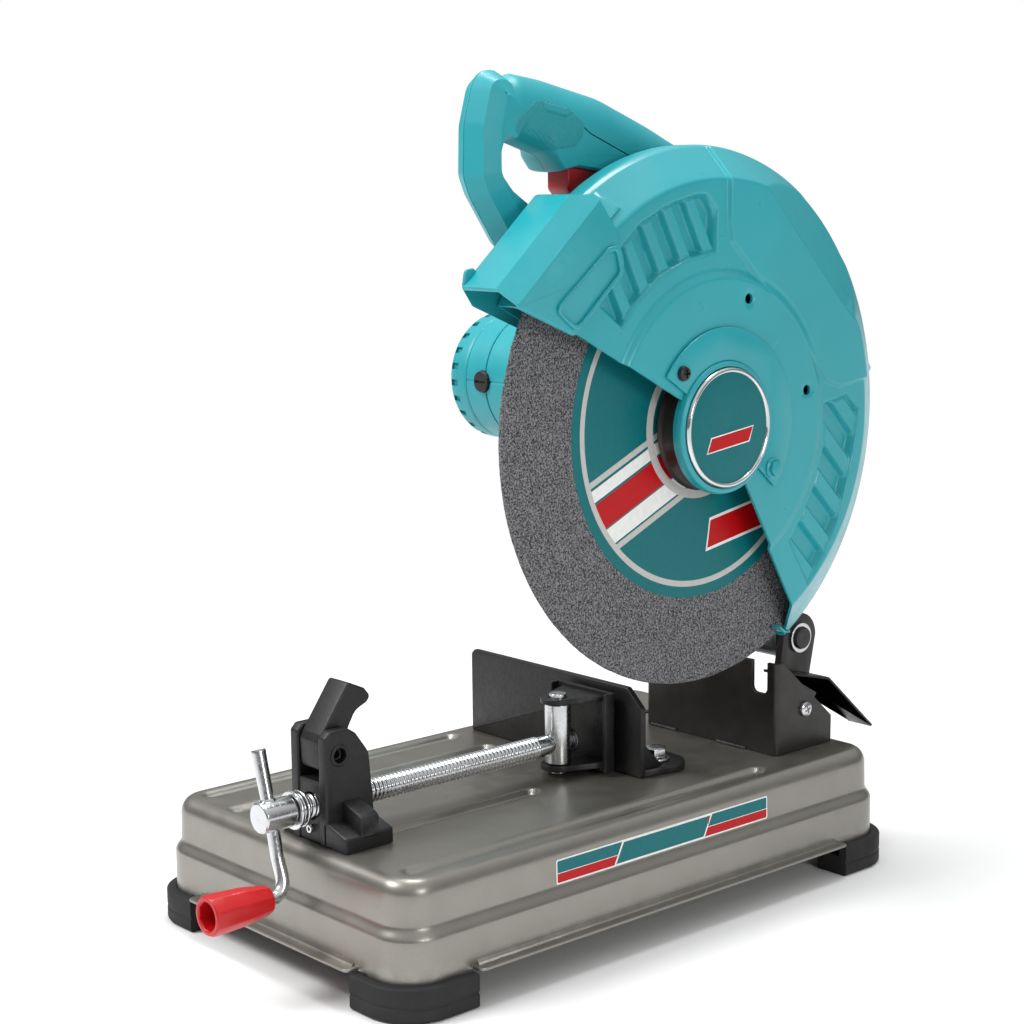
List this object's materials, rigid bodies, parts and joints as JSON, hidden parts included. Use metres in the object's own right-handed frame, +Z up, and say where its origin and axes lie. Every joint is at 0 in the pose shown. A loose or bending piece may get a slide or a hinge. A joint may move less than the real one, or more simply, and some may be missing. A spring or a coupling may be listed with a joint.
{
  "type": "abrasive chop saw",
  "caption": "Bench chop saw for metal: pivoting guarded abrasive wheel and motor over a pressed steel base with a screw vise and swivelling fence.",
  "frame": {"origin": "on the floor, under the middle of the whole saw's bounding box", "axes": "+X to the machine's right (the wheel's side), +Y to the rear (the hinge), +Z up"},
  "size_m": [0.3045, 0.5582, 0.56],
  "materials": {
    "base_paint": "satin metallic",
    "guard_paint": "satin",
    "teal_plastic": "satin moulded",
    "hub_badge": "gloss with bright rim",
    "black_paint": "satin",
    "black_casting": "painted casting",
    "zinc": "bright zinc plated",
    "steel": "machined",
    "aluminium": "die cast",
    "copper": "wound copper and steel",
    "abrasive": "resin bonded grit",
    "rubber": "moulded",
    "black_plastic": "moulded",
    "red_plastic": "gloss moulded"
  },
  "bodies": {
    "base": {"base_pan": "base_paint", "rubber_foot_front_right": "rubber", "rubber_foot_front_left": "rubber", "rubber_foot_rear_right": "rubber", "rubber_foot_rear_left": "rubber", "hinge_bracket": "black_paint", "hinge_shaft": "zinc", "shaft_circlip": "steel", "return_spring": "steel", "depth_stop_nut": "zinc", "depth_stop_bolt": "zinc", "deflector_screw": "zinc", "fence_pivot_washer": "zinc", "fence_pivot_bolt": "zinc", "nut_block": "black_casting", "lever_pin": "steel"},
    "fence": {"fence": "black_paint", "fence_lock_bolt": "zinc"},
    "deflector": {"spark_deflector": "black_paint"},
    "release_lever": {"quick_release_lever": "black_casting"},
    "carriage": {"jaw_pin": "zinc"},
    "screw": {"lead_screw": "zinc", "screw_collar": "zinc", "screw_clip": "steel", "crank_bar": "zinc"},
    "grip": {"crank_grip": "red_plastic"},
    "jaw": {"vise_jaw": "black_paint"},
    "head": {"wheel_guard": "guard_paint", "guard_nose": "guard_paint", "centre_cover": "guard_paint", "hub_cap": "hub_badge", "cover_screw_front": "steel", "cover_screw_rear": "guard_paint", "gear_case": "aluminium", "head_arm": "aluminium", "motor_housing": "teal_plastic", "motor_end_cap": "teal_plastic", "stator": "steel", "carbon_brush_front": "black_plastic", "carbon_brush_rear": "black_plastic", "brush_cap_front": "black_plastic", "brush_cap_rear": "black_plastic", "spindle_bearing_outer": "steel", "armature_bearing_front": "steel", "armature_bearing_rear": "steel", "handle_left": "teal_plastic", "handle_right": "teal_plastic", "switch": "black_plastic", "cord_guard": "black_plastic", "power_cable": "black_plastic"},
    "spindle": {"spindle": "steel", "drive_gear": "steel", "inner_flange": "steel", "cutting_wheel": "abrasive", "outer_flange": "steel", "clamp_bolt": "zinc"},
    "armature": {"armature": "copper"},
    "trigger": {"trigger": "red_plastic"},
    "lock_button": {"lock_button": "black_plastic"},
    "spindle_lock": {"spindle_lock_button": "black_plastic"}
  },
  "joints": [
    {"name": "head_tilt", "type": "hinge", "parent": "base", "child": "head", "pos_m": [0.042, 0.218, 0.157], "axis": [1, 0, 0], "range_deg": [0, 23]},
    {"name": "wheel_spin", "type": "hinge", "parent": "head", "child": "spindle", "pos_m": [0.062, 0.0935, 0.326], "axis": [1, 0, 0], "continuous": true},
    {"name": "armature_spin", "type": "hinge", "parent": "head", "child": "armature", "pos_m": [-0.038, 0.12352, 0.34279], "axis": [1, 0, 0], "continuous": true},
    {"name": "trigger_pull", "type": "slide", "parent": "head", "child": "trigger", "axis": [0, 0, 1], "range_m": [0, 0.005]},
    {"name": "lock_press", "type": "slide", "parent": "head", "child": "lock_button", "axis": [1, 0, 0], "range_m": [0, 0.003]},
    {"name": "spindle_lock_press", "type": "slide", "parent": "head", "child": "spindle_lock", "axis": [0, 1, 0], "range_m": [0, 0.005]},
    {"name": "fence_swing", "type": "hinge", "parent": "base", "child": "fence", "pos_m": [0.064, 0.081, 0.09], "axis": [0, 0, -1], "range_deg": [0, 45]},
    {"name": "jaw_swivel", "type": "hinge", "parent": "carriage", "child": "jaw", "pos_m": [0.032, 0.0185, 0.107], "axis": [0, 0, -1], "range_deg": [-1, 46]},
    {"name": "screw_turn", "type": "hinge", "parent": "carriage", "child": "screw", "pos_m": [0.032, -0.085, 0.107], "axis": [0, 1, 0], "range_deg": [0, 10800]},
    {"name": "vise_slide", "type": "slide", "parent": "base", "child": "carriage", "axis": [0, -1, 0], "range_m": [-0.0005, 0.1205]},
    {"name": "grip_spin", "type": "hinge", "parent": "screw", "child": "grip", "pos_m": [0.045, -0.255, 0.06], "axis": [0, 1, 0], "continuous": true},
    {"name": "lever_swing", "type": "hinge", "parent": "base", "child": "release_lever", "pos_m": [0.032, -0.182, 0.141], "axis": [1, 0, 0], "range_deg": [0, 60]},
    {"name": "deflector_tilt", "type": "hinge", "parent": "base", "child": "deflector", "pos_m": [0.102, 0.19, 0.1138], "axis": [1, 0, 0], "range_deg": [-8, 15]}
  ],
  "couplings": [
    {"joint": "armature_spin", "follows": "wheel_spin", "ratio": -4},
    {"joint": "vise_slide", "follows": "screw_turn", "m_per_rad": 0.00063662},
    {"joint": "jaw_swivel", "follows": "fence_swing", "ratio": 1}
  ]
}
